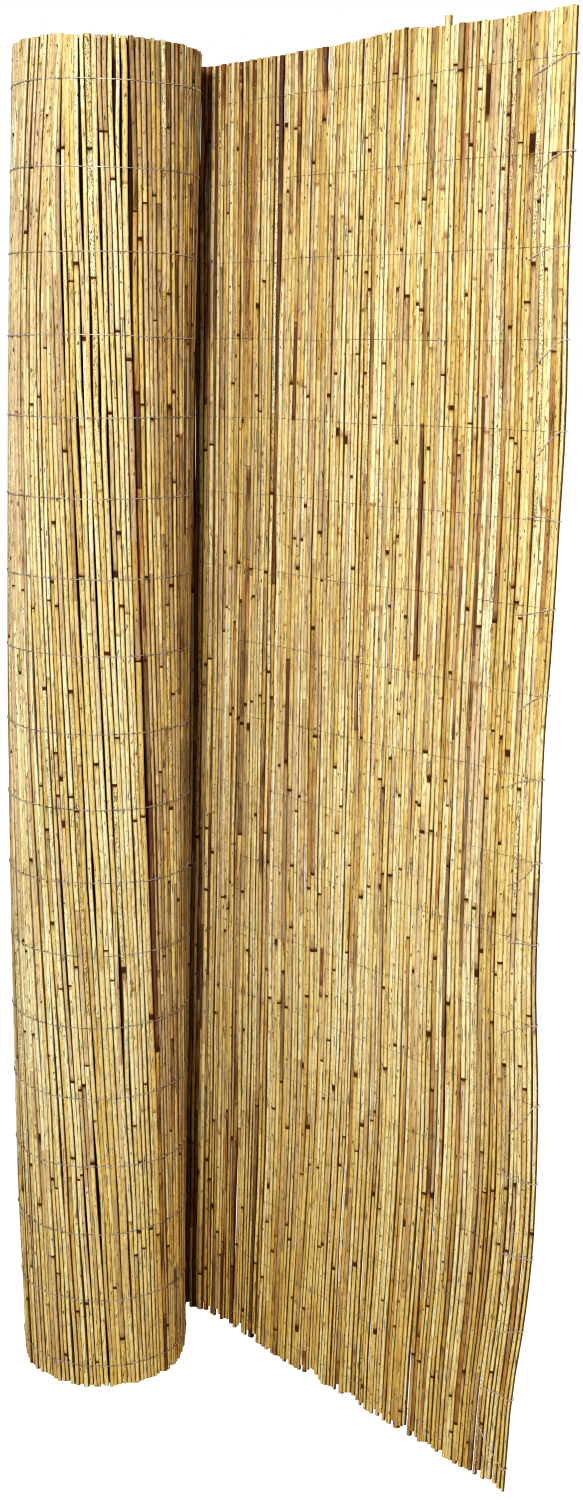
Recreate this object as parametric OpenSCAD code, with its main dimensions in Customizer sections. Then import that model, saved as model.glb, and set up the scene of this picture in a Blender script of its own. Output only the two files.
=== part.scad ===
// Reed screening roll: natural reeds bound side by side with galvanised wire, rolled up and
// stood on end, with its last stretch unrolled as a straight flap.
// Seen from above, the mat runs from the free end along X, round a sprung-open quarter turn
// behind the roll, and then winds inwards counter-clockwise.

/* [Screen] */
// Height of the screen, which is the length of its longest reeds
height = 1800; // [1000:10:2400]
// Length of the straight unrolled flap, from its free end to where it starts to bend
flap_l = 592; // [200:1:1200]

/* [Roll] */
// Outside radius of the wound roll where its outermost turn begins
roll_r = 124.5; // [90:0.5:200]
// Radius of the open middle of the roll
bore_r = 36; // [20:0.5:50]
// How far the sprung-open quarter turn stands off the wound roll
spring_out = 48.7; // [20:0.1:120]
// Slack between one turn's wires and the next turn's reeds
turn_slack = 1; // [0.1:0.1:2]
// Width of the gap between the turns that shows on the roll's ends
end_gap_w = 1.4; // [0.6:0.1:2.5]
// Depth of that gap
end_gap_d = 18; // [5:1:60]

/* [Reeds] */
// Thickness of the thickest reed
reed_max = 7.2; // [6:0.1:11]
// Thickness of the thinnest reed
reed_min = 4; // [3:0.1:6]
// Space between neighbouring reeds
reed_gap = 0.9; // [0.2:0.05:1.5]
// How far single reeds stand in front of or behind the middle of the mat
reed_stagger = 0.4; // [0:0.05:1]
// How far the highest feet of the reeds stop short of the lowest
foot_spread = 14; // [0:0.5:25]
// How far the lowest heads of the reeds stop short of the highest
head_spread = 5; // [0:0.5:25]

/* [Binding wires] */
// Diameter of the binding wire
wire_d = 1.2; // [0.8:0.1:1.6]
// Height of the lowest wire above the foot of the screen
wire_first = 33; // [20:1:80]
// Distance from one wire to the next
wire_pitch = 101; // [60:1:300]
// Space between a wire and the thickest reeds
wire_seat = 0.15; // [0.1:0.05:0.5]
// Length of the twisted tail that is folded over the free end
tail_l = 50; // [20:1:90]
// Diameter of the twisted tail
tail_d = 1.8; // [1:0.1:2.4]

/* [Hidden] */
$fn = 48;
golden = 0.6180339887;
silver = 0.4142135624;

// Half the mat's thickness, with the stagger of its reeds
mat_half = reed_max / 2 + reed_stagger;
// Distance from one turn to the next: the mat, its wire and the slack
turn_pitch = 2 * mat_half + wire_d + 2 * wire_seat + turn_slack;
// The winding is a spiral of half circles, drawn in turn about two centres on the X axis
centre_x = turn_pitch / 4;
// Middle of the mat on the front half turn and on the back half turn
front_r = roll_r - mat_half;
back_r = front_r - turn_pitch / 2;
// The inner turns, under the outermost one
core_gap = 0.3;
core_front_r = front_r - mat_half - core_gap;
core_back_r = back_r - mat_half - core_gap;
// Width of mat that is left between the bore and the innermost gap on an end
last_turn_w = 5;

// The sprung-open quarter turn is an arc that leaves the winding on its -X side
quarter_r = front_r + spring_out;
quarter_x = quarter_r - front_r - centre_x;
quarter_l = quarter_r * PI / 2;
front_l = front_r * PI;
back_l = back_r * PI;
bend_s = flap_l;
winding_s = bend_s + quarter_l;
back_s = winding_s + front_l;
// The last reed of the outermost turn stops clear of the step where the inner turns start
mat_l = back_s + back_l - mat_half - core_gap;

// The wire lies on the outside of the mat
wire_off = mat_half + wire_seat + wire_d / 2;
wire_count = floor((height - 2 * wire_first + 1) / wire_pitch) + 1;
tail_off = mat_half + wire_seat + tail_d / 2;
// Slope of each row's tail below the level, from the foot up
tail_slopes = [-45, 6, 18, 10, 6, 52, 25, 8, 42, 20, 35, 12, 0, 42, 40, 15, 28, 20];

function row_name(n) = str("wire_", n < 10 ? "0" : "", n);

function frac(x) = x - floor(x);
function degrees_along(length, radius) = length / radius * 180 / PI;

// Thickness of reed i
function reed_d(i) = reed_min + (reed_max - reed_min) * frac(i * i * golden + 0.2);

// Distance of each reed's middle from the free end, one after another along the mat
reed_s = [for (i = 0, s = reed_d(0) / 2; s < mat_l;
               s = s + (reed_d(i) + reed_d(i + 1)) / 2 + reed_gap, i = i + 1) s];

// Point of the mat at distance s from its free end, moved off towards its outside
function mat_point(s, off) =
    s < bend_s ? [quarter_x + flap_l - s, quarter_r + off] :
    s < winding_s ? arc_point(quarter_x, quarter_r + off, 90 + degrees_along(s - bend_s, quarter_r)) :
    s < back_s ? arc_point(-centre_x, front_r + off, 180 + degrees_along(s - winding_s, front_r)) :
    arc_point(centre_x, back_r + off, degrees_along(s - back_s, back_r));
function arc_point(x, r, a) = [x + r * cos(a), r * sin(a)];

// One stem, standing a little in front of or behind the middle of the mat, with its own ends
module reed(i) {
    foot = foot_spread * pow(frac(i * i * silver), 2);
    head = height - head_spread * frac(i * i * i * golden + 0.5);
    stagger = reed_stagger * (2 * frac(i * i * silver + golden) - 1);
    at = mat_point(reed_s[i], stagger);
    translate([at[0], at[1], foot]) cylinder(h = head - foot, d = reed_d(i));
}

// The reeds whose middle lies between two distances from the free end
module reeds_between(from, to) {
    for (i = [0:len(reed_s) - 1])
        if (reed_s[i] >= from && reed_s[i] < to) reed(i);
}

// Half of the inner turns about one centre, with the gaps between the turns in both ends
module half_core(r) {
    gaps = [for (g = r - turn_pitch; g > bore_r + last_turn_w; g = g - turn_pitch) g];
    n = len(gaps);
    top = height - head_spread / 2;
    foot = [for (i = [n - 1:-1:0], p = [[-1, 0], [-1, 1], [1, 1], [1, 0]])
            [gaps[i] + p[0] * end_gap_w / 2, p[1] * end_gap_d]];
    head = [for (i = [0:n - 1], p = [[1, 0], [1, 1], [-1, 1], [-1, 0]])
            [gaps[i] + p[0] * end_gap_w / 2, top - p[1] * end_gap_d]];
    rotate_extrude(angle = 180, $fn = 180)
        polygon(concat([[bore_r / 2, 0]], foot, [[r, 0], [r, top]], head, [[bore_r / 2, top]]));
}

module roll() {
    color("#b99a5c")
        difference() {
            union() {
                translate([-centre_x, 0, 0]) rotate([0, 0, 180]) half_core(core_front_r);
                translate([centre_x, 0, 0]) half_core(core_back_r);
            }
            translate([0, 0, -1]) cylinder(h = height + 2, r = bore_r, $fn = 96);
        }
}

module turn_reeds() {
    color("#c8a964") reeds_between(winding_s, mat_l);
}

module quarter_reeds() {
    color("#c2a25c") reeds_between(bend_s, winding_s);
}

module flap_reeds() {
    color("#cdb06c") reeds_between(0, bend_s);
}

// Wire bent round a centre in the level plane
module bent_wire(x, y, r, from, turn) {
    translate([x, y, 0])
        rotate([0, 0, from])
            rotate_extrude(angle = turn, $fn = 120)
                translate([r, 0]) circle(d = wire_d, $fn = 16);
}

// One row: round the outermost turn, round the quarter turn, along the back of the flap,
// round its end reed, and back over the front as a twisted tail
module wire(n) {
    end_x = mat_point(reed_s[0], 0)[0];
    inner_end = degrees_along(back_l - mat_half - core_gap, back_r);
    color("#9a9c9e")
        translate([0, 0, wire_first + (n - 1) * wire_pitch]) {
            bent_wire(centre_x, 0, back_r + wire_off, 0, inner_end);
            bent_wire(-centre_x, 0, front_r + wire_off, 180, 180);
            bent_wire(quarter_x, 0, quarter_r + wire_off, 90, 90);
            translate([quarter_x, quarter_r + wire_off, 0])
                rotate([0, 90, 0]) cylinder(h = end_x - quarter_x, d = wire_d, $fn = 16);
            bent_wire(end_x, quarter_r, wire_off, -90, 180);
            translate([end_x, quarter_r - tail_off, 0]) {
                sphere(d = tail_d, $fn = 24);
                rotate([0, -90 - tail_slopes[(n - 1) % len(tail_slopes)], 0])
                    cylinder(h = tail_l, d = tail_d, $fn = 16);
            }
        }
}

roll();
turn_reeds();
quarter_reeds();
flap_reeds();
for (n = [1:wire_count])
    wire(n);
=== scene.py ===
"""Looks of the reed screening roll: natural reed stems bound with galvanised wire, standing on end
with the last stretch of the screen unrolled as a straight flap. Lengths are in metres."""
import math

import bpy
import numpy as np
from mathutils import Matrix, Vector


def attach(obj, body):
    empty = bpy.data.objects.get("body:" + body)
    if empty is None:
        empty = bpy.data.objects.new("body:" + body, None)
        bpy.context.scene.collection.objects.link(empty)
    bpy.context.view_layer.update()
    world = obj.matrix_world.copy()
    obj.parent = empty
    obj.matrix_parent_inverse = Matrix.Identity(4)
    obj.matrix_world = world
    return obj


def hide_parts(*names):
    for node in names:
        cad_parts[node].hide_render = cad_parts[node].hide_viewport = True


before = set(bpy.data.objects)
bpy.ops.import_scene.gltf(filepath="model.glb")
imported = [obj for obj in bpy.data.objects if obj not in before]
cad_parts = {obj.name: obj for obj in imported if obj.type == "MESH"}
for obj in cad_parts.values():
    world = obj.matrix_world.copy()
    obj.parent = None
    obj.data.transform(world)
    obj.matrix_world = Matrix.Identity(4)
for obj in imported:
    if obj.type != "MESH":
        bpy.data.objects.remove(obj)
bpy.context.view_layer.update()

# The camera stands at eye level to the right of the roll and looks down a little, so that the
# flap runs towards it. Its place, turn and focal length come from the photograph's perspective.
camera_place = Vector((1.9286, -1.4499, 1.406))
camera_yaw = math.radians(46.86)
camera_down = math.radians(11.92)
camera_roll = math.radians(1.03)
picture_height_px = 1500
focal_px = 1788.3
sensor_mm = 36.0

forward = Vector((-math.sin(camera_yaw) * math.cos(camera_down),
                  math.cos(camera_yaw) * math.cos(camera_down),
                  -math.sin(camera_down)))
level_right = Vector((math.cos(camera_yaw), math.sin(camera_yaw), 0.0))
level_up = level_right.cross(forward)
picture_right = math.cos(camera_roll) * level_right + math.sin(camera_roll) * level_up
picture_up = math.cos(camera_roll) * level_up - math.sin(camera_roll) * level_right

camera = bpy.data.objects.new("camera", bpy.data.cameras.new("camera"))
camera.data.sensor_width = sensor_mm
camera.data.lens = focal_px / picture_height_px * sensor_mm
camera.matrix_world = (Matrix.Translation(camera_place)
                       @ Matrix((picture_right, picture_up, -forward)).transposed().to_4x4())
bpy.context.scene.collection.objects.link(camera)
bpy.context.scene.camera = camera


# The course of the screen seen from above. From its free end it runs straight as the flap, bends
# round the sprung-open quarter turn, and then winds inwards as a spiral of half circles about
# two centres. Every stem and wire is placed on this course.
height = 1.8
flap_l = 0.592
roll_r = 0.1245
bore_r = 0.036
spring_out = 0.0487
reed_min, reed_max, reed_gap, reed_stagger = 0.0040, 0.0072, 0.0009, 0.0004
foot_spread, head_spread = 0.014, 0.005
wire_d, wire_seat, turn_slack = 0.0012, 0.00015, 0.0010
core_gap = 0.0003
golden, silver = 0.6180339887, 0.4142135624

mat_half = reed_max / 2 + reed_stagger
turn_pitch = 2 * mat_half + wire_d + 2 * wire_seat + turn_slack
centre_x = turn_pitch / 4
front_r = roll_r - mat_half
quarter_r = front_r + spring_out
quarter_x = quarter_r - front_r - centre_x
bend_s = flap_l
winding_s = bend_s + quarter_r * math.pi / 2
half_turn_count = int((front_r - bore_r - mat_half) / (turn_pitch / 2)) + 1
half_turn_r = front_r - turn_pitch / 2 * np.arange(half_turn_count)
half_turn_s = winding_s + np.concatenate([[0.0], np.cumsum(half_turn_r * math.pi)])
wound_s = half_turn_s[2] - mat_half - core_gap

# The wound roll isn't quite straight. It is drawn in at both ends, and its head and its foot stand
# a little to the right of its middle.
foot_pinch, head_pinch = 0.0060, 0.0035
roll_bow, roll_tilt = 0.0100, 0.0085
aside_x, aside_y = 0.684, 0.730


def ease(x, low, high):
    """0 below low, 1 above high, and 3t^2 - 2t^3 of the share t between them."""
    t = np.clip((x - low) / (high - low), 0.0, 1.0)
    return t * t * (3 - 2 * t)


def plateau(x, rise_from, rise_to, fall_from, fall_to):
    """0 below rise_from and above fall_to, 1 from rise_to to fall_from, and eased between."""
    return ease(x, rise_from, rise_to) * (1 - ease(x, fall_from, fall_to))


def hump(x, middle, reach):
    """exp(-((x - middle) / reach)^2): 1 at the middle and next to nothing two reaches off."""
    return np.exp(-((x - middle) / reach) ** 2)


def on_course(s, off, z):
    """Points of the course at distance s from the free end and height z, moved off to the
    screen's outside. Straight: x falls with s. Bends: x and y are centre + (radius + off) * cos
    and sin of the angle, which grows by s / radius. The pinch goes with 1 - cos and the
    bow with the square of the height from the roll's middle. Returns x and y."""
    s, off, z = np.broadcast_arrays(s, off, z)
    half_turn = np.clip(np.searchsorted(half_turn_s, s, side="right") - 1, 0, half_turn_count - 1)
    on_roll = ease(s, bend_s, winding_s)
    from_middle = z / height - 0.5
    pinch = (foot_pinch + head_pinch) / 2 + (head_pinch - foot_pinch) * from_middle
    drawn_in = pinch * (1 - np.cos(math.pi * np.clip(from_middle, -0.5, 0.5))) * on_roll
    aside = (roll_bow * 4 * from_middle ** 2 + roll_tilt * from_middle) * on_roll
    radius = half_turn_r[half_turn]
    angle = (half_turn + 1) * math.pi + (s - half_turn_s[half_turn]) / radius
    spread = (radius + off) * (1 - drawn_in / roll_r)
    x = np.where(half_turn % 2 == 0, -centre_x, centre_x) + spread * np.cos(angle)
    y = spread * np.sin(angle)
    quarter_angle = math.pi / 2 + (s - bend_s) / quarter_r
    in_quarter = s < winding_s
    sprung = quarter_r + off - drawn_in
    x = np.where(in_quarter, quarter_x + sprung * np.cos(quarter_angle), x)
    y = np.where(in_quarter, sprung * np.sin(quarter_angle), y)
    on_flap = s < bend_s
    x = np.where(on_flap, quarter_x + flap_l - s, x) + aside_x * aside
    y = np.where(on_flap, quarter_r + off, y) + aside_y * aside
    return x, y


# The stems stand side by side along the course, in the same places as the solids and half way up
# about as thick. Each tapers to its tip, and about half stand butt up. Their feet are uneven on
# the flap, more even on the roll and higher at its right side. Their heads rise a little in two
# places, and one stem on the flap stands proud of the rest.
sprung_from, sprung_to = 0.59, 0.86
wound_foot_share = 0.3
bend_feet_s, bend_feet_reach, bend_feet_rise = 0.55, 0.07, 0.007
right_feet_s, right_feet_rise = (1.25, 1.33, 1.40, 1.55), 0.015
head_share = 0.5
rising_heads = [(0.27, 0.06, 0.006), (1.10, 0.12, 0.003)]
taper_range = (0.05, 0.30)
plain_swell, sprung_swell = 0.0005, 0.0012
edge_swell, edge_swell_reach = 0.0006, 0.3
proud_s, proud_rise, proud_swell = 0.189, 0.011, 0.0028

random = np.random.default_rng(7)
stem_count = int(half_turn_s[-1] / (reed_min / 2 + reed_max / 2)) + 1
stem = np.arange(stem_count)
stem_d = reed_min + (reed_max - reed_min) * ((stem ** 2 * golden + 0.2) % 1.0)
stem_s = np.cumsum(stem_d) - stem_d / 2 + stem * reed_gap
stem_foot = foot_spread * ((stem ** 2 * silver) % 1.0) ** 2
stem_foot *= np.where(stem_s < sprung_to, 1.0, wound_foot_share)
stem_foot += bend_feet_rise * hump(stem_s, bend_feet_s, bend_feet_reach)
stem_foot += right_feet_rise * plateau(stem_s, *right_feet_s)
stem_head = height - head_share * head_spread * ((stem ** 3 * golden + 0.5) % 1.0)
for head_s, reach, rise in rising_heads:
    stem_head += rise * hump(stem_s, head_s, reach)
stem_stagger = reed_stagger * (2 * ((stem ** 2 * silver + golden) % 1.0) - 1)
stem_taper = random.uniform(*taper_range, stem_count)
stem_swell = plain_swell + edge_swell * np.exp(-stem_s / edge_swell_reach)
stem_swell[(stem_s > sprung_from) & (stem_s < sprung_to)] = sprung_swell
stem_butt_up = random.random(stem_count) < 0.5
proud_stem = np.argmin(np.abs(stem_s - proud_s))
stem_head[proud_stem] = height + proud_rise
stem_swell[proud_stem] = proud_swell

# The screen has slipped a little as it was handled. The flap's free edge and its middle sway by a
# few millimetres, most near the foot, and the stems of the roll lean to one side below chest
# height. Each stem also bends a little by itself, which opens and closes the gaps beside it.
edge_z = np.array([0.0, 0.12, 0.25, 0.40, 0.52, 0.65, 0.95, 1.30, 1.60, 1.80])
edge_sway = np.array([0.013, 0.007, -0.007, -0.0155, -0.012, -0.003, 0.002, -0.002, 0.007, 0.007])
middle_z = np.array([0.0, 0.35, 0.80, 1.30, 1.80])
middle_sway = np.array([0.013, 0.005, 0.0, -0.001, -0.003])
edge_reach = 0.20
flap_sway_end = (0.40, 0.85)
roll_lean = 0.052
lean_s = (0.62, 0.95, 1.10, 1.60)
lean_below, lean_below_right, lean_right_s = 1.46, 2.1, (1.09, 1.22)
lean_back = 1.9
lean_toe, lean_toe_share = 0.45, 0.35
lean_fade = 0.07
lean_still_z = 0.75
group_size = 0.0007
group_s, group_z = random.uniform(0.12, 0.5, 4), random.uniform(0.8, 2.0, 4)
group_phase = random.uniform(0, 2 * math.pi, 4)
bend_size = 0.00025 * (1 + 4.0 * random.random(stem_count) ** 4)
depth_size = 0.0004 + 0.0012 * random.random(stem_count) ** 2
long_bend = random.uniform(0.5, 1.5, stem_count)
short_bend = random.uniform(0.2, 0.5, stem_count)
bend_phase = random.uniform(0, 2 * math.pi, (4, stem_count))
short_bend_share = 0.7
long_depth_share, short_depth_share = 0.7, 0.4

# Gaps where two neighbouring stems part for a stretch: place along the course, height, half
# length and half width, which the factors enlarge. The roll's long dark ones come first, and
# then the short ones near the flap's head. Smaller ones lie at random on both.
long_gaps = [
    (1.131, 1.303, 0.060, 0.0016), (1.070, 1.508, 0.060, 0.0012), (1.106, 1.515, 0.080, 0.0014),
    (1.149, 0.284, 0.070, 0.0015), (1.179, 1.690, 0.070, 0.0013), (1.149, 1.600, 0.075, 0.0016),
    (1.164, 1.313, 0.050, 0.0012), (1.191, 1.640, 0.095, 0.0016), (1.099, 1.703, 0.090, 0.0018),
    (1.153, 1.385, 0.060, 0.0012), (1.130, 1.631, 0.080, 0.0014), (1.133, 0.260, 0.060, 0.0012),
    (1.100, 0.322, 0.050, 0.0011), (1.061, 0.428, 0.050, 0.0011), (1.108, 0.070, 0.060, 0.0013),
    (1.219, 0.858, 0.050, 0.0012), (1.160, 0.051, 0.060, 0.0012), (1.182, 0.589, 0.060, 0.0011),
    (1.168, 1.753, 0.045, 0.0013), (1.146, 0.742, 0.050, 0.0011),
    (0.622, 1.656, 0.040, 0.0014), (0.429, 1.790, 0.050, 0.0011), (0.391, 1.782, 0.025, 0.0030),
    (0.553, 1.760, 0.050, 0.0010), (0.267, 1.715, 0.055, 0.0036), (0.474, 1.740, 0.040, 0.0010),
    (0.242, 1.453, 0.035, 0.0028),
]
long_gap_factors = [1.0, 1.0, 1.15, 1.4]
flap_gap_count, roll_gap_count = 50, 170
flap_gap_s, roll_gap_s = (0.0, 0.58), (0.90, 1.5)
small_gap_half_length = (0.03, 0.12)
gap_reach = 3.0

small_gap_count = flap_gap_count + roll_gap_count
small_gaps = np.stack([np.append(random.uniform(*flap_gap_s, flap_gap_count),
                                 random.uniform(*roll_gap_s, roll_gap_count)),
                       random.uniform(0.0, height, small_gap_count),
                       random.uniform(*small_gap_half_length, small_gap_count),
                       0.0002 + 0.0009 * random.random(small_gap_count) ** 2], axis=1)
gaps = np.concatenate([np.array(long_gaps) * long_gap_factors, small_gaps])


def smooth_curve(x, knots, values):
    """A curve through the values at the knots: a cubic on each stretch, whose slope at a knot is
    the gradient there."""
    slopes = np.gradient(values, knots)
    at = np.clip(np.searchsorted(knots, x) - 1, 0, len(knots) - 2)
    width = knots[at + 1] - knots[at]
    t = np.clip((x - knots[at]) / width, -0.1, 1.1)
    start, end = values[at], values[at + 1]
    return (start + (end - start) * t * t * (3 - 2 * t)
            + width * t * (1 - t) * (slopes[at] * (1 - t) - slopes[at + 1] * t))


def sway(s, z):
    """How far a stem at s has moved along the course at height z. Flap: the curve of its free
    edge, which gives way to that of its middle by exp(-s / edge_reach). Roll: a straight lean.
    Through log(1 + exp) it turns back above lean_below, which is past the head on the roll's
    right, and is less below lean_toe. Groups: a sum of long slanted waves."""
    near_edge = np.exp(-s / edge_reach)
    flap = (smooth_curve(z, edge_z, edge_sway) * near_edge
            + smooth_curve(z, middle_z, middle_sway) * (1 - near_edge))
    below = lean_below + (lean_below_right - lean_below) * ease(s, *lean_right_s)
    bent = lean_fade * (np.logaddexp(0, (z - below) / lean_fade)
                        - np.logaddexp(0, (lean_still_z - below) / lean_fade))
    toe = lean_fade * np.logaddexp(0, (lean_toe - z) / lean_fade)
    roll = roll_lean * (lean_still_z - z + lean_back * bent - lean_toe_share * toe)
    groups = [np.sin(2 * math.pi * (s / along + z / up) + phase)
              for along, up, phase in zip(group_s, group_z, group_phase)]
    return (flap * (1 - ease(s, *flap_sway_end)) + roll * plateau(s, *lean_s)
            + group_size * np.sum(groups, axis=0))


gap_before = [np.searchsorted(stem_s + sway(stem_s, gap_z), gap_s) for gap_s, gap_z, _, _ in gaps]


def wave(z, length, phase):
    """A sine wave along z, of the given length."""
    return np.sin(2 * math.pi * z / length + phase)


def stem_place(i, z):
    """Distance along the course and off it, of stem i at height z: its place, the sway and its
    own long and short sine waves. A gap pushes the stems on its two sides apart by
    exp(-(height from it / its half length)^2), and less from stem to stem."""
    long_phase, short_phase, long_depth_phase, short_depth_phase = bend_phase[:, i]
    own = bend_size[i] * (wave(z, long_bend[i], long_phase)
                          + short_bend_share * wave(z, short_bend[i], short_phase))
    depth = (long_depth_share * wave(z, long_bend[i], long_depth_phase)
             + short_depth_share * wave(z, short_bend[i], short_depth_phase))
    off = stem_stagger[i] + depth_size[i] * depth
    pushed = np.zeros(np.broadcast(i, z).shape)
    for (_, gap_z, half_length, half_width), before in zip(gaps, gap_before):
        stems_from = i - before + 0.5
        pushed += (half_width * np.sign(stems_from) * np.exp(-np.abs(stems_from) / gap_reach)
                   * hump(z, gap_z, half_length))
    return stem_s[i] + sway(stem_s[i], z) + own + pushed, off


def stem_radius(i, z):
    """Half thickness of stem i at height z: a straight taper from its butt to its tip, with the
    solid's thickness half way."""
    along = (z - stem_foot[i]) / (stem_head[i] - stem_foot[i])
    from_butt = np.where(stem_butt_up[i], 1 - along, along)
    return (stem_d[i] + stem_swell[i]) / 2 * (1.0 - stem_taper[i] * (from_butt - 0.5))


# Stems and wires are round tubes made of rings, and all tubes of a piece make one mesh. Its corners
# carry marks for the shader, and the painted shade on the flanks differs a little from tube to
# tube.
flank_shade_share = (0.66, 1.20)
sharp_angle = math.radians(60)


def ring_tubes(centre, across, beside, radius, sides):
    """Corners of round tubes: centre + radius * (across * cos + beside * sin) for each ring of
    each tube, as an array of tubes, rings, sides and coordinates."""
    angle = 2 * math.pi * np.arange(sides) / sides
    circle_x = np.cos(angle)[None, None, :, None]
    circle_y = np.sin(angle)[None, None, :, None]
    spokes = across[:, :, None, :] * circle_x + beside[:, :, None, :] * circle_y
    return centre[:, :, None, :] + radius[:, :, None, None] * spokes


def tube_faces(tubes, rings, sides, first=0):
    """Corner numbers of the walls, as quads between rings, and of the two end caps of each tube."""
    number = first + np.arange(tubes * rings * sides).reshape(tubes, rings, sides)
    following = np.roll(number, -1, axis=2)
    walls = np.stack([number[:, :-1], following[:, :-1], following[:, 1:], number[:, 1:]], axis=-1)
    caps = np.concatenate([number[:, 0, ::-1], number[:, -1]])
    return walls.reshape(-1, 4), caps


def solid_piece(name, parts, material):
    """One mesh object from tube arrays: parts is a list of (corners, marks), where marks holds
    four numbers for each ring. The flank shade of a corner is the sine squared of its angle round
    the tube, which is 0 on the faces of the screen and 1 where stems stand side by side, times
    a random share for each tube. It masks the shade painted where stems touch."""
    corner_list, mark_list, flank_shade_list, loop_list, total_list = [], [], [], [], []
    first = 0
    for corners, marks in parts:
        tubes, rings, sides, _ = corners.shape
        walls, caps = tube_faces(tubes, rings, sides, first)
        first += tubes * rings * sides
        corner_list.append(corners.reshape(-1, 3))
        mark_list.append(np.repeat(marks.reshape(-1, 4), sides, axis=0))
        around = np.tile(np.sin(2 * math.pi * np.arange(sides) / sides) ** 2, rings)
        flank_shade_list.append(np.outer(random.uniform(*flank_shade_share, tubes), around).ravel())
        loop_list += [walls.ravel(), caps.ravel()]
        total_list += [np.full(len(walls), 4), np.full(len(caps), sides)]
    loops = np.concatenate(loop_list).astype(np.int32)
    totals = np.concatenate(total_list).astype(np.int32)
    mesh = bpy.data.meshes.new(name)
    mesh.vertices.add(first)
    mesh.vertices.foreach_set("co", np.concatenate(corner_list).astype(np.float32).ravel())
    mesh.loops.add(len(loops))
    mesh.loops.foreach_set("vertex_index", loops)
    mesh.polygons.add(len(totals))
    mesh.polygons.foreach_set("loop_start", np.cumsum(totals) - totals)
    mesh.polygons.foreach_set("loop_total", totals)
    mesh.polygons.foreach_set("use_smooth", np.ones(len(totals), dtype=bool))
    mesh.update(calc_edges=True)
    marks = mesh.attributes.new("marks", "FLOAT_COLOR", "POINT")
    marks.data.foreach_set("color", np.concatenate(mark_list).astype(np.float32).ravel())
    # The mask of the shade painted on the flanks.
    flank = mesh.attributes.new("flank", "FLOAT", "POINT")
    flank.data.foreach_set("value", np.concatenate(flank_shade_list).astype(np.float32))
    mesh.set_sharp_from_angle(angle=sharp_angle)
    mesh.materials.append(material)
    piece = bpy.data.objects.new(name, mesh)
    bpy.context.scene.collection.objects.link(piece)
    return piece


class Value:
    """A socket that takes part in arithmetic: each operator adds one Math node to its tree."""

    def __init__(self, shading, socket):
        self.shading = shading
        self.socket = socket

    def combined(self, operation, a, b):
        """One Math node on two values."""
        return self.shading.node("ShaderNodeMath", {"operation": operation}, {0: a, 1: b})

    def __add__(self, other):
        return self.combined("ADD", self, other)

    def __sub__(self, other):
        return self.combined("SUBTRACT", self, other)

    def __rsub__(self, other):
        return self.combined("SUBTRACT", other, self)

    def __mul__(self, other):
        return self.combined("MULTIPLY", self, other)

    __radd__ = __add__
    __rmul__ = __mul__

    def step(self, low, high):
        """0 below low, 1 above high and smooth between."""
        settings = {"interpolation_type": "SMOOTHSTEP"}
        inputs = {"Value": self, "From Min": low, "From Max": high}
        return self.shading.node("ShaderNodeMapRange", settings, inputs)


class Shading:
    """The node tree of one material, with one method that adds a node of any type."""

    def __init__(self, name):
        self.material = bpy.data.materials.new(name)
        self.material.use_nodes = True
        self.tree = self.material.node_tree
        self.surface = self.tree.nodes["Principled BSDF"]

    def node(self, kind, settings, inputs, output=0):
        """Adds a node of any type: first its settings, where stops are a colour ramp's places and
        colours, and then the value or link of each socket. Returns one of its outputs."""
        added = self.tree.nodes.new(kind)
        for key, setting in settings.items():
            if key == "stops":
                ramp = added.color_ramp.elements
                while len(ramp) < len(setting):
                    ramp.new(1.0)
                for element, (position, colour) in zip(ramp, setting):
                    element.position = position
                    element.color = (*colour, 1.0)
            else:
                setattr(added, key, setting)
        for key, given in inputs.items():
            self.give(added.inputs[key], given)
        return Value(self, added.outputs[output])

    def give(self, socket, given):
        """Links a value to a socket, or sets the socket to a number or an opaque colour."""
        if isinstance(given, Value):
            self.tree.links.new(given.socket, socket)
        elif isinstance(given, tuple) and len(given) == 3 and socket.type == "RGBA":
            socket.default_value = (*given, 1.0)
        else:
            socket.default_value = given

    def mix(self, factor, a, b):
        """Colour a where factor is 0 and colour b where it is 1."""
        settings = {"data_type": "RGBA", "clamp_factor": True}
        return self.node("ShaderNodeMix", settings, {0: factor, 6: a, 7: b}, output=2)

    def shaded(self, colour, level):
        """A colour times a level."""
        settings = {"operation": "SCALE"}
        return self.node("ShaderNodeVectorMath", settings, {0: colour, "Scale": level})

    def tinted(self, colour, tint, factor):
        """A colour times a tint, as far as the factor says."""
        settings = {"data_type": "RGBA", "blend_type": "MULTIPLY", "clamp_factor": True}
        return self.node("ShaderNodeMix", settings, {0: factor, 6: colour, 7: tint}, output=2)

    def noise(self, place, stretch, detail=2.0, roughness=0.5):
        """Noise on object coordinates, stretched by a count of waves a metre along each axis."""
        scaled = self.node("ShaderNodeMapping", {}, {"Vector": place, "Scale": stretch})
        inputs = {"Vector": scaled, "Scale": 1.0, "Detail": detail, "Roughness": roughness}
        return self.node("ShaderNodeTexNoise", {}, inputs)

    def finish(self, **inputs):
        """Gives the surface shader its sockets, and returns the material."""
        for key, given in inputs.items():
            self.give(self.surface.inputs[key.replace("_", " ")], given)
        return self.material
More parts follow.
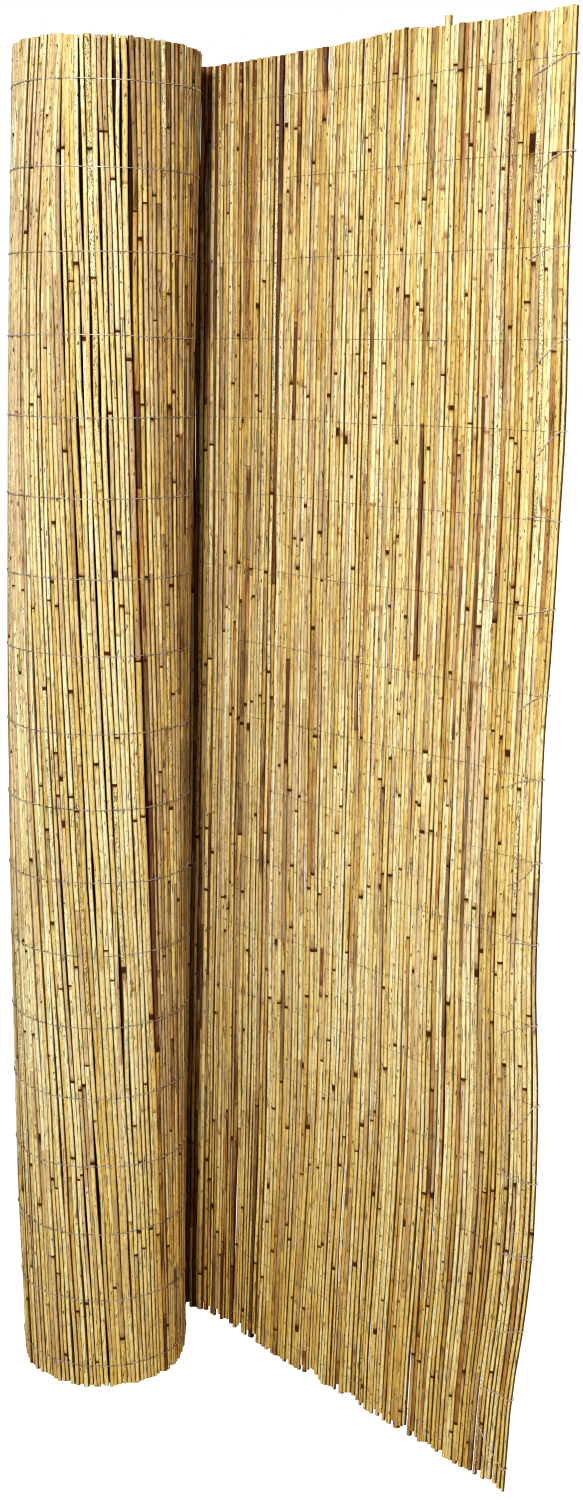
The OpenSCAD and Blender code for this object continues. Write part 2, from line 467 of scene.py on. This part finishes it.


# Dry reed. A bare stem is glossy straw, from greenish cream to gold and, here and there, orange
# or brown. Stretches still wrapped in their leaf sheath are matt tan. Nodes are dark brown bands
# with a stain beside them, and mould leaves black specks. Shade is painted dark brown on the
# flanks, where stems touch, and more of it below 0.7 m, where all stems are also browner.
bare_tones = [(0.0, (0.92, 0.84, 0.50)), (0.25, (0.87, 0.73, 0.35)), (0.5, (0.79, 0.59, 0.21)),
              (0.72, (0.64, 0.42, 0.11)), (0.88, (0.46, 0.22, 0.07)), (1.0, (0.15, 0.055, 0.022))]
sheath_tones = [(0.0, (0.78, 0.60, 0.33)), (0.45, (0.62, 0.43, 0.20)), (0.8, (0.42, 0.26, 0.10)),
                (1.0, (0.14, 0.07, 0.02))]
# The brown of the nodes, which is also painted as shade in the cut ends' hollows and the inner
# turns.
node_and_shade_brown = (0.045, 0.012, 0.003)
stain_tint = (0.50, 0.31, 0.15)
# The colour of the shade painted on the flanks, where stems touch.
flank_shade_tint = (0.15, 0.072, 0.004)
low_tint = (1.0, 0.91, 0.66)
weather_tint = (0.64, 0.50, 0.34)
mould_black = (0.060, 0.026, 0.009)


def dry_reed():
    shading = Shading("dry_reed")
    marks = shading.node("ShaderNodeAttribute", {"attribute_name": "marks"}, {})
    mould = Value(shading, marks.socket.node.outputs["Alpha"])
    tone, sheath, node = (
        shading.node("ShaderNodeSeparateColor", {}, {"Color": marks}, output=k) for k in range(3)
    )
    # Where shade is painted on the flanks.
    flank = shading.node("ShaderNodeAttribute", {"attribute_name": "flank"}, {}, output=2)
    place = shading.node("ShaderNodeTexCoord", {}, {}, output="Object")
    up = shading.node("ShaderNodeSeparateXYZ", {}, {"Vector": place}, output=2)
    low_down = 1.0 - up.step(0.0, 0.7)
    fibre = shading.noise(place, (1100.0, 1100.0, 9.0), detail=3.0, roughness=0.65)
    drift = shading.noise(place, (190.0, 190.0, 13.0), detail=3.0, roughness=0.6)
    grain = shading.noise(place, (700.0, 700.0, 220.0), detail=2.0, roughness=0.7)
    furrow = shading.noise(place, (430.0, 430.0, 6.0), detail=1.0)
    blotch = shading.noise(place, (260.0, 260.0, 80.0), detail=4.0, roughness=0.6)
    speck = shading.noise(place, (900.0, 900.0, 480.0), detail=1.0)
    pit = shading.noise(place, (330.0, 330.0, 150.0), detail=0.0)
    dash = shading.noise(place, (620.0, 620.0, 40.0), detail=0.0)

    drifted = tone + (drift - 0.5) * 0.6
    bare = shading.node("ShaderNodeValToRGB", {"stops": bare_tones}, {"Fac": drifted})
    wrapped = shading.node("ShaderNodeValToRGB", {"stops": sheath_tones}, {"Fac": drifted})
    ragged = (sheath + (blotch - 0.5) * 0.4 + (fibre - 0.5) * 0.4).step(0.42, 0.58)
    colour = shading.mix(ragged, bare, wrapped)
    colour = shading.shaded(colour, fibre * 0.96 + grain * 0.80 + furrow * 0.34)
    colour = shading.tinted(colour, weather_tint, blotch.step(0.48, 0.75))
    stained = (node + (blotch - 0.5) * 0.5).step(0.05, 0.55)
    colour = shading.tinted(colour, stain_tint, stained)
    colour = shading.tinted(colour, low_tint, low_down)
    # Painted shade on the flanks, where stems touch, deeper below 0.7 m.
    colour = shading.tinted(colour, flank_shade_tint, (flank * (1.0 + low_down * 0.35)).step(0.42, 0.95))
    # The node mark carries the nodes, and also painted shade in the cut ends' hollows and the inner
    # turns.
    node_band_and_shade = (node + (blotch - 0.5) * 0.4).step(0.48, 0.66)
    colour = shading.mix(node_band_and_shade * 0.95, colour, node_and_shade_brown)
    colour = shading.mix(pit.step(0.76, 0.79) * 0.8, colour, node_and_shade_brown)
    colour = shading.mix(dash.step(0.71, 0.75) * 0.7, colour, node_and_shade_brown)
    specked = (speck + mould * 0.24 + (blotch - 0.5) * 0.25).step(0.76, 0.82)
    colour = shading.mix(specked * 0.85, colour, mould_black)
    rough = 0.50 + ragged * 0.25 + node_band_and_shade * 0.15
    relief = fibre * (0.35 + ragged * 0.65) + blotch * 0.3
    grooves = {"Strength": 0.5, "Distance": 0.0004, "Height": relief}
    bump = shading.node("ShaderNodeBump", {}, grooves)
    return shading.finish(Base_Color=colour, Roughness=rough, Normal=bump, Specular_IOR_Level=0.03)


reed_material = dry_reed()

# Each stem is a hollow tube with its rings gathered at its nodes, where it swells a little. Both
# cut ends are open, with a thin wall round a hollow, painted dark brown as shade. Some nodes are
# dark and some hardly show, and two have rotted: places along the course, heights and sizes.
hollow_share = 0.66
hollow_depth = 0.012
# Painted shade in a cut end's hollow: full at its bottom, faint at its inner rim, none outside.
hollow_shade = [1.0, 0.15, 0.0]
node_rings = np.array([-0.0028, -0.0012, 0.0, 0.0012, 0.0030, 0.0120])
node_swell = np.array([0.0, 0.6, 1.0, 0.6, 0.1, 0.0])
node_dark = np.array([0.0, 0.95, 1.0, 0.75, 0.35, 0.0])
node_share_up = [1, 1, 0, 0, 0, 0.05]
rings_below_node = np.count_nonzero(node_rings < 0)
node_swell_size = (0.02, 0.10)
node_strengths, node_odds = [0.12, 0.45, 0.8, 1.0], [0.42, 0.20, 0.20, 0.18]
node_size, tall_node, tall_node_odds = (0.6, 1.3), 1.4, 0.08
node_jitter, node_crowding = 0.42, (0.85, 1.2)
clear_foot, clear_head = 0.014, 0.050
rotten_nodes = [(0.057, 1.661, 5.5), (0.128, 1.720, 13.0)]
rotten_reach = 0.004

# The tone of a stem runs from 0, pale straw, to 1, dark brown. It differs from stem to stem, from
# one stretch between nodes to the next, and a little within a stretch. Each tone change makes all
# stems past a place browner, or paler below 0: where it starts and ends, and how much. The second
# and third paint shade on the flap next to the roll and on the sprung quarter turn, in the dark
# wedge between flap and roll, and the fourth takes that back. The last is partly the roll's own
# tan and partly shade painted on its right side.
base_tone, tone_spread = 0.06, 0.85
orange_odds, orange_change = 0.05, 0.25
brown_places, brown_tone = [0.318, 0.400], 0.57
# Painted shade: the second and third changes, undone by the fourth, and part of the last.
tone_changes = [(0.35, 0.45, -0.03), (0.35, 0.58, 0.14), (0.60, 0.62, 0.26), (0.84, 0.86, -0.40),
                (1.04, 1.12, -0.08), (1.19, 1.27, 0.42)]
stretch_tone_spread, ring_tone_spread = 0.12, 0.07

# Between the free edge and the end of the quarter turn, the stems are browner towards their butts.
# At the roll's left side they are paler there instead.
butt_brown_s, butt_brown, butt_brown_reach = (0.0, 0.5, 0.84, 0.90), 0.30, 0.35
butt_pale_s, butt_pale, butt_pale_reach = (0.86, 0.90, 1.08, 1.16), 0.30, (0.4, 1.0)

# From a node towards the tip the stem may still be wrapped, part of the way or all of it. That is
# so more often at the roll's two sides. Some stems are mouldy.
sheathed_left_s, sheathed_left_odds = (0.90, 1.07), 0.35
sheathed_right_s, sheathed_right_odds = 1.23, 0.65
sheath_reach, sheath_edge = (0.2, 1.6), 4.0
mouldy_odds, mould_power = 0.12, 1.5
# How dark the shade painted on the inner turns' stems is.
inner_shade = 0.9

stem_tone = base_tone + tone_spread * random.beta(1.5, 2.8, stem_count)
stem_tone += orange_change * (random.random(stem_count) < orange_odds)
stem_tone[[np.argmin(np.abs(stem_s - brown_s)) for brown_s in brown_places]] = brown_tone
for change_from, change_to, change in tone_changes:
    stem_tone += change * ease(stem_s, change_from, change_to)
sheathed_odds = random.beta(0.7, 1.5, stem_count)
at_left = (stem_s > sheathed_left_s[0]) & (stem_s < sheathed_left_s[1])
sheathed_odds[at_left] += sheathed_left_odds
sheathed_odds[stem_s > sheathed_right_s] += sheathed_right_odds
sheathed_odds[proud_stem] = 1.0
mouldy = random.random(stem_count) < mouldy_odds


def stem_nodes(i, cells):
    """Heights, sizes and darkness of the nodes of stems i, one in each cell, as the stems are laid
    out butt down. The heights are the middles of equal shares of the stem, moved by the jitter
    and raised to a random power, which crowds them towards one end."""
    count = len(i)
    foot, head = stem_foot[i][:, None], stem_head[i][:, None]
    jitter = random.uniform(-node_jitter, node_jitter, (count, cells))
    share = (np.arange(cells) + 0.5 + jitter) / cells
    share = share ** random.uniform(*node_crowding, (count, 1))
    knots = foot + clear_foot + (head - foot - clear_foot - clear_head) * share
    size = random.uniform(*node_size, (count, cells, 1))
    size = size + tall_node * (random.random((count, cells, 1)) < tall_node_odds)
    dark = random.choice(node_strengths, (count, cells), p=node_odds)
    for rotten_s, rotten_z, rotten_size in rotten_nodes:
        distance = np.abs(stem_s[i] - rotten_s)
        if cells and distance.min() < rotten_reach:
            tube = np.argmin(distance)
            turned_z = foot[tube, 0] + head[tube, 0] - rotten_z
            from_butt = turned_z if stem_butt_up[i[tube]] else rotten_z
            cell = np.argmin(np.abs(knots[tube] - from_butt))
            knots[tube, cell] = from_butt
            size[tube, cell], dark[tube, cell] = rotten_size, 1.0
    return knots, size, dark


def stem_marks(i, z, cells, shares, node_strength, shade):
    """Tone, sheath, node and mould of every ring of stems i, where the node mark also carries
    painted shade. The sheath is the reach of each stretch's wrapping less the ring's share of the
    way up the stretch, times the sheath's edge. The rings below a node end one stretch, and the
    others begin the next. Shade is painted dark in the cut ends' hollows, and by the given shade
    on the rings past the last node."""
    count = len(i)
    rings = len(shares) + len(node_rings)
    stretch_tone = random.normal(0, stretch_tone_spread, (count, cells + 1))
    wrapped = random.random((count, cells + 1)) < sheathed_odds[i][:, None]
    reach = np.where(wrapped, random.uniform(*sheath_reach, (count, cells + 1)), 0.0)
    mould = mouldy[i][:, None] * random.random((count, cells + 1)) ** mould_power
    below = len(shares) + rings_below_node
    stretch = np.repeat(np.arange(cells), rings)
    stretch += np.tile([0] * below + [1] * (rings - below), cells)
    stretch = np.concatenate([[0, 0, 0], stretch, [cells] * (len(shares) + 3)])
    share_up = np.tile([*shares, *node_share_up], cells)
    share_up = np.concatenate([[0, 0, 0], share_up, shares, [1, 1, 1]])
    sheath = np.clip((reach[:, stretch] - share_up) * sheath_edge, 0.0, 1.0)

    dark = np.zeros((count, cells, rings))
    dark[:, :, len(shares):] = node_dark * node_strength[:, :, None]
    # The cut ends' hollows are painted dark as shade.
    cut = np.tile(hollow_shade, (count, 1))
    # Painted shade on the rings past the last node.
    past_last = np.full((count, len(shares)), shade)
    dark = np.concatenate([cut, dark.reshape(count, -1), past_last, cut[:, ::-1]], axis=1)

    tone = (stem_tone[i][:, None] + stretch_tone)[:, stretch]
    tone += random.normal(0, ring_tone_spread, z.shape)
    browner, paler = plateau(stem_s[i], *butt_brown_s), plateau(stem_s[i], *butt_pale_s)
    tone += butt_brown * np.exp(-z / butt_brown_reach) * browner[:, None]
    tone -= butt_pale * (1 - ease(z, *butt_pale_reach)) * paler[:, None]
    return np.stack([tone, sheath, dark, mould[:, stretch]], axis=-1)


def stem_tubes(i, cells, sides, shares, shade):
    """Corners and marks of stems i, with rings round each node and at the given shares of the way
    from one node to the next. A stem is laid out butt down, and turned over, ring by ring,
    where its butt is up. Then each ring goes to its place on the course at its height."""
    count = len(i)
    foot, head = stem_foot[i][:, None], stem_head[i][:, None]
    knots, size, node_strength = stem_nodes(i, cells)
    ends = np.concatenate([foot, knots, head], axis=1)
    between = ends[:, :-1, None] + np.diff(ends, axis=1)[:, :, None] * np.array(shares)
    body = np.concatenate([between[:, :-1], knots[:, :, None] + node_rings * size], axis=2)
    body = np.clip(body.reshape(count, -1), foot, head)
    at_foot = [foot + hollow_depth, foot, foot]
    at_head = [head, head, head - hollow_depth]
    z = np.concatenate([*at_foot, body, between[:, -1], *at_head], axis=1)

    swell = np.zeros((count, cells, len(shares) + len(node_rings)))
    swell_size = random.uniform(*node_swell_size, (count, cells, 1))
    swell[:, :, len(shares):] = node_swell * swell_size
    inner = np.full((count, 2), hollow_share - 1.0)
    plain = np.zeros((count, 1))
    last = np.zeros((count, len(shares)))
    swell = np.concatenate([inner, plain, swell.reshape(count, -1), last, plain, inner], axis=1)
    marks = stem_marks(i, z, cells, shares, node_strength, shade)

    over = stem_butt_up[i]
    z[over] = (foot + head)[over] - z[over][:, ::-1]
    swell[over] = swell[over][:, ::-1]
    marks[over] = marks[over][:, ::-1]
    at = np.repeat(i[:, None], z.shape[1], axis=1)
    s, off = stem_place(at, z)
    x, y = on_course(s, off, z)
    outer_x, outer_y = on_course(s, off + 1.0, z)
    across = np.stack([outer_x - x, outer_y - y, np.zeros_like(z)], axis=-1)
    across /= np.linalg.norm(across, axis=-1, keepdims=True)
    beside = np.stack([-across[..., 1], across[..., 0], np.zeros_like(z)], axis=-1)
    radius = stem_radius(at, z) * (1 + swell)
    return ring_tubes(np.stack([x, y, z], axis=-1), across, beside, radius, sides), marks


# The stems make four pieces, one for each stretch of the course. The inner turns show only their
# cut ends, so their stems have no nodes and fewer sides. All but their ends are painted node brown
# as shade, for the dark behind the outer turn.
flap_stems = stem[stem_s < bend_s]
sprung_stems = stem[(stem_s >= bend_s) & (stem_s < winding_s)]
wound_stems = stem[(stem_s >= winding_s) & (stem_s < wound_s)]
inner_stems = stem[(stem_s >= wound_s) & (stem_s < half_turn_s[-1])]

quarters, near_ends = [0.25, 0.5, 0.75], [0.02, 0.98]
node_count, outer_sides, inner_sides = 8, 10, 8
for piece_name, stems, node_name, cells, sides, shares, shade, slot in (
    ("flap_stems", flap_stems, "flap_reeds", node_count, outer_sides, quarters, 0.0, "reed"),
    ("sprung_stems", sprung_stems, "quarter_reeds", node_count, outer_sides, quarters, 0.0, "reed"),
    ("wound_stems", wound_stems, "turn_reeds", node_count, outer_sides, quarters, 0.0, "reed"),
    ("inner_turn_stems", inner_stems, "roll", 0, inner_sides, near_ends, inner_shade, "reed_inner"),
):
    piece = solid_piece(piece_name, [stem_tubes(stems, cells, sides, shares, shade)], reed_material)
    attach(piece, "root")
    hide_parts(node_name)


# The screen is bound with soft galvanised steel wire. Its zinc is dull, and the reed's warm
# reflection is painted into its colour. It is darker in random patches, more so on the stitch,
# and paler on the tails.
def galvanised():
    shading = Shading("galvanised_wire")
    marks = shading.node("ShaderNodeAttribute", {"attribute_name": "marks"}, {})
    darkening = shading.node("ShaderNodeSeparateColor", {}, {"Color": marks})
    place = shading.node("ShaderNodeTexCoord", {}, {}, output="Object")
    spangle = shading.noise(place, (130.0, 130.0, 130.0), detail=2.0)
    clean = (spangle - darkening).step(0.30, 0.60)
    # The pale colour holds a painted warm reflection of the reed.
    colour = shading.mix(clean, (0.10, 0.06, 0.04), (0.60, 0.50, 0.44))
    return shading.finish(Base_Color=colour, Metallic=0.4, Roughness=0.36 + spangle * 0.2)


wire_material = galvanised()

# Each of the 18 rows is two strands. The carrier runs along the outside of the stems. The stitch
# runs along the inside and comes through after every second stem to loop over the carrier. At the
# free end both hook round the end stem and end in a twisted tail on the inside of the flap.
wire_first = 0.033
wire_pitch = 0.101
row_count = 18
stitch_d = 0.0005
carrier_d = 0.0011
loop_s = np.array([-0.0020, -0.0010, 0.0, 0.0010, 0.0020])
loop_share = np.array([0.0, 0.75, 1.0, 0.75, 0.0])
strand_lift = 0.0009
hook_gap = 0.0004
hook_points = 7
tail_turn = 0.0065
turn_points = 9
twist_share = 0.55
tail_slopes = [-45, 6, 18, 10, 6, 52, 25, 8, 42, 20, 35, 12, 0, 42, 40, 15, 28, 20]
row_wobble = random.uniform(0, 2 * math.pi, (row_count, 3))
wobble_size, wobble_lengths = 0.0008, (0.045, 0.11, 0.3)
tail_l = 0.046 * random.uniform(0.8, 1.35, row_count)
tail_bow = random.uniform(-0.005, 0.005, row_count)
# How much darker each strand is: the stitch more, and the tails paler, below 0.
carrier_darkening, stitch_darkening, tail_darkening = 0.0, 0.15, -0.4
outer_stems = stem[stem_s < wound_s]


def strand(points, thickness, darkening, sides=5):
    """A round wire through the points: rings stand across the local direction, with one spoke
    level and the other as near upright as it can be. Its marks all hold the darkening."""
    ahead = np.gradient(points, axis=0)
    ahead /= np.linalg.norm(ahead, axis=1, keepdims=True)
    level = np.cross(ahead, [0.0, 0.0, 1.0])
    level /= np.linalg.norm(level, axis=1, keepdims=True)
    upright = np.cross(level, ahead)
    radius = np.full(len(points), thickness / 2)
    corners = ring_tubes(points[None], level[None], upright[None], radius[None], sides)
    return corners, np.broadcast_to(np.reshape(darkening, (1, -1, 1)), (1, len(points), 4))


def widest_near(values, reach=1):
    """The largest of each value and its neighbours within reach."""
    padded = np.pad(values, reach, mode="edge")
    return np.max([padded[k:k + len(values)] for k in range(2 * reach + 1)], axis=0)


def row_points(row, s, off, lift=0.0):
    """Points at distance s along the course and at off beside it, at a row's height. The wobble
    is a sum of three sine waves of s, and the lift comes on top."""
    row_z = wire_first + row * wire_pitch
    x, y = on_course(s, off, row_z)
    waves = [np.sin(s / length + phase) for length, phase in zip(wobble_lengths, row_wobble[row])]
    return np.stack([x, y, row_z + wobble_size * np.sum(waves, axis=0) + lift], axis=-1)


def carrier_and_stitch(row):
    """The two strands of a row along the stems, with the distance of the end stem's middle and the
    stitch's distance from it. The carrier lies on the crests of the stems. The stitch lies in the
    troughs, and goes by the loop's shares from there to over the carrier at every other gap."""
    row_z = wire_first + row * wire_pitch
    s, off = stem_place(outer_stems, row_z)
    radius = stem_radius(outer_stems, row_z)
    order = np.argsort(s)
    s, off, radius = s[order], off[order], radius[order]
    crest = widest_near(off + radius) + carrier_d / 2
    trough = -widest_near(radius - off) - stitch_d / 2
    between = (s[1:] + s[:-1]) / 2
    carrier_s = np.sort(np.concatenate([s, between]))
    carrier = row_points(row, carrier_s, np.interp(carrier_s, s, crest))
    through = between[::2]
    middle = (through[1:] + through[:-1]) / 2
    stitch_s = np.concatenate([(through[:, None] + loop_s).ravel(), middle])
    share = np.concatenate([np.tile(loop_share, len(through)), np.zeros(len(middle))])
    order = np.argsort(stitch_s)
    stitch_s, share = stitch_s[order], share[order]
    over = np.interp(stitch_s, s, crest) + carrier_d / 2 + stitch_d / 2
    under = np.interp(stitch_s, s, trough)
    stitch = row_points(row, stitch_s, under + (over - under) * share, strand_lift * share)
    return carrier, stitch, s[0], -trough[0]


def hook_and_tail(row, end_s, inside):
    """The end of a row: a half circle round the end stem, the middle line of the tail, and the
    first strand's distance from that line. The tail falls at its slope with a sine's bow, and the
    twist is a circle that turns once for each tail_turn of length."""
    row_z = wire_first + row * wire_pitch
    end_x, end_y = on_course(end_s, 0.0, row_z)
    round_end = inside + hook_gap
    turn = np.linspace(0, math.pi, hook_points + 2)[1:-1]
    hook = np.stack([end_x + round_end * np.sin(turn), end_y + round_end * np.cos(turn),
                     np.full(len(turn), row_z)], axis=-1)
    slope = math.radians(tail_slopes[row])
    reach = np.arange(0.0, tail_l[row], tail_turn / turn_points)
    bow = tail_bow[row] * np.sin(reach / tail_l[row] * math.pi)
    axis_points = np.stack([end_x - reach * math.cos(slope) - bow * math.sin(slope),
                            np.full(len(reach), end_y - round_end - stitch_d / 2),
                            row_z - reach * math.sin(slope) + bow * math.cos(slope)], axis=-1)
    phase = (reach / tail_turn * 2 * math.pi)[:, None]
    outwards = np.array([0.0, -1.0, 0.0])
    aside = np.array([-math.sin(slope), 0.0, math.cos(slope)])
    twist = (np.cos(phase) * outwards + np.sin(phase) * aside) * stitch_d * twist_share
    return hook, axis_points, twist


for row in range(row_count):
    carrier, stitch, end_s, inside = carrier_and_stitch(row)
    hook, axis_points, twist = hook_and_tail(row, end_s, inside)
    first_strand = np.concatenate([carrier[::-1], hook, axis_points + twist])
    second_strand = np.concatenate([stitch[::-1], hook + [0.0, 0.0, strand_lift],
                                    axis_points - twist])
    first_darkening = np.where(np.arange(len(first_strand)) < len(carrier), carrier_darkening, tail_darkening)
    second_darkening = np.where(np.arange(len(second_strand)) < len(stitch), stitch_darkening, tail_darkening)
    piece = solid_piece(f"binding_row_{row + 1:02d}",
                        [strand(first_strand, carrier_d, first_darkening),
                         strand(second_strand, stitch_d, second_darkening)],
                        wire_material)
    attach(piece, "root")
    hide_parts(f"wire_{row + 1:02d}")


# The floor is a wide pale plane that keeps the screen's soft shadow near its foot and is plain
# white further off, where it meets the white world behind it.
floor_half = 12.0
floor_colour = (0.7, 0.7, 0.7)
floor_glow = 1.12
shadow_share, shadow_end = 0.10, (0.6, 1.8)
floor_mesh = bpy.data.meshes.new("floor")
floor_mesh.from_pydata([(-floor_half, -floor_half, 0.0), (floor_half, -floor_half, 0.0),
                        (floor_half, floor_half, 0.0), (-floor_half, floor_half, 0.0)],
                       [], [(0, 1, 2, 3)])
floor = bpy.data.objects.new("floor", floor_mesh)
bpy.context.scene.collection.objects.link(floor)

floor_shading = Shading("pale_floor")
floor_shading.finish(Base_Color=floor_colour, Roughness=0.9)
floor_place = floor_shading.node("ShaderNodeTexCoord", {}, {}, output="Object")
length_of = {"operation": "LENGTH"}
distance = floor_shading.node("ShaderNodeVectorMath", length_of, {0: floor_place}, output=1)
ray = floor_shading.node("ShaderNodeLightPath", {}, {}, output="Is Camera Ray")
white_glow = {"Color": (1.0, 1.0, 1.0), "Strength": floor_glow}
glow = floor_shading.node("ShaderNodeEmission", {}, white_glow)
plain = Value(floor_shading, floor_shading.surface.outputs[0])
share = ray * (1.0 - shadow_share + distance.step(*shadow_end) * shadow_share)
lit = floor_shading.node("ShaderNodeMixShader", {}, {0: share, 1: plain, 2: glow})
floor_shading.give(floor_shading.tree.nodes["Material Output"].inputs["Surface"], lit)
floor_mesh.materials.append(floor_shading.material)

# The world is white where the camera sees it or the wire mirrors it. To everything else it is dim,
# so that the lamps do the lighting.
world_light = 0.12
world = bpy.data.worlds.new("studio")
world.use_nodes = True
bpy.context.scene.world = world
world_nodes = world.node_tree.nodes
world_links = world.node_tree.links
path = world_nodes.new("ShaderNodeLightPath")
seen = path.outputs["Is Camera Ray"]
for ray_kind in ("Is Glossy Ray", "Is Transmission Ray"):
    either = world_nodes.new("ShaderNodeMath")
    either.operation = "MAXIMUM"
    world_links.new(seen, either.inputs[0])
    world_links.new(path.outputs[ray_kind], either.inputs[1])
    seen = either.outputs[0]
level = world_nodes.new("ShaderNodeMapRange")
level.inputs["To Min"].default_value = world_light
level.inputs["To Max"].default_value = 1.0
world_links.new(seen, level.inputs["Value"])
world_links.new(level.outputs[0], world_nodes["Background"].inputs["Strength"])
world_nodes["Background"].inputs["Color"].default_value = (1.0, 1.0, 1.0, 1.0)


# Three soft lamps light the screen: the key from the right and above the head, a weak fill from
# the left, and one behind that keeps the back of the flap from going dark.
def soft_lamp(name, place, target, size, power):
    """A square area lamp of the given width and watts that faces the target."""
    lamp = bpy.data.lights.new(name, "AREA")
    lamp.size = size
    lamp.energy = power
    holder = bpy.data.objects.new(name, lamp)
    holder.location = place
    holder.rotation_euler = (Vector(target) - Vector(place)).to_track_quat("-Z", "Y").to_euler()
    bpy.context.scene.collection.objects.link(holder)


soft_lamp("key", (1.86, -2.05, 2.1), (0.15, 0.0, 1.0), 0.32, 75)
soft_lamp("fill", (-1.2, -2.6, 1.8), (0.0, 0.0, 1.0), 1.2, 7)
soft_lamp("back", (-0.6, 2.9, 2.0), (0.15, 0.0, 1.0), 1.2, 45)

bpy.context.scene.view_settings.view_transform = "Standard"
bpy.context.scene.cycles.filter_width = 1.0
